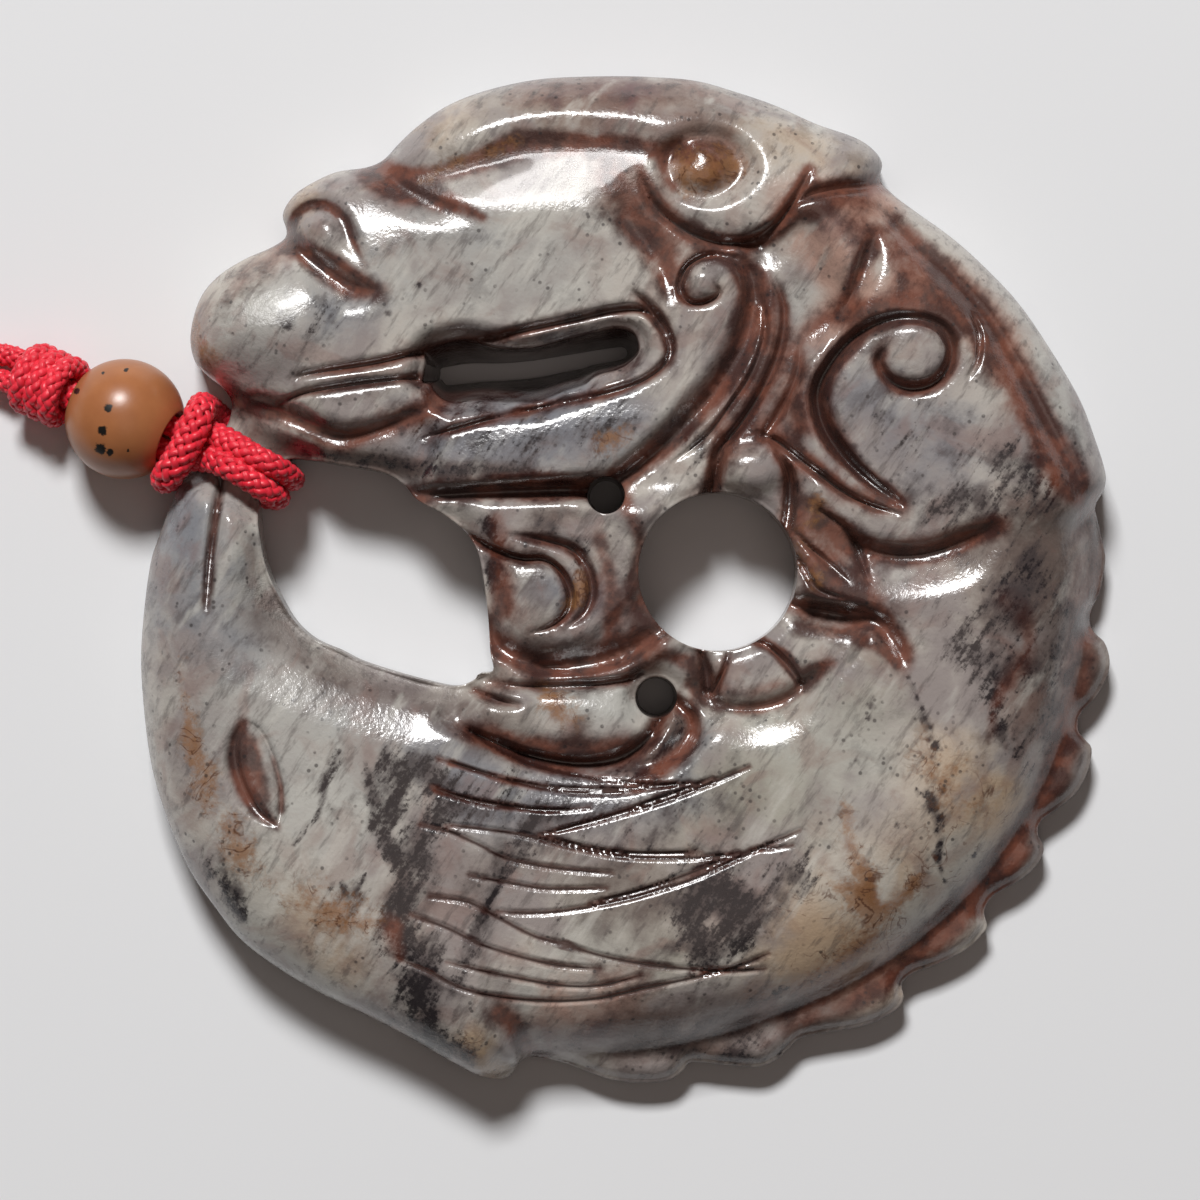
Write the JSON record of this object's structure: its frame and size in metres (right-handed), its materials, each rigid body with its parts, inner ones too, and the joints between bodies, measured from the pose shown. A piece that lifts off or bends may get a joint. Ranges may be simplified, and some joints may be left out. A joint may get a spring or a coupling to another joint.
{
  "type": "carved stone pendant on a cord",
  "caption": "Round pierced stone pendant carved in relief as a coiled dragon, hung from a looped cord by a hitch, with a round bead and a knot.",
  "frame": {"origin": "bottom centre of the carving's box, on its flat back", "axes": "+X to the right as the picture shows the face, +Y to the dragon's brow, +Z from the back to the carved face"},
  "size_m": [0.1134, 0.0516, 0.007],
  "materials": {
    "jade": "polished, mottled grey green with russet in the cuts",
    "bead_stone": "satin, with black spots",
    "red_cord": "braided"
  },
  "bodies": {
    "root": {"jade_carving": "jade", "stone_bead": "bead_stone", "cord_hitch": "red_cord", "cord_knot": "red_cord", "cord_loop": "red_cord"}
  },
  "joints": []
}
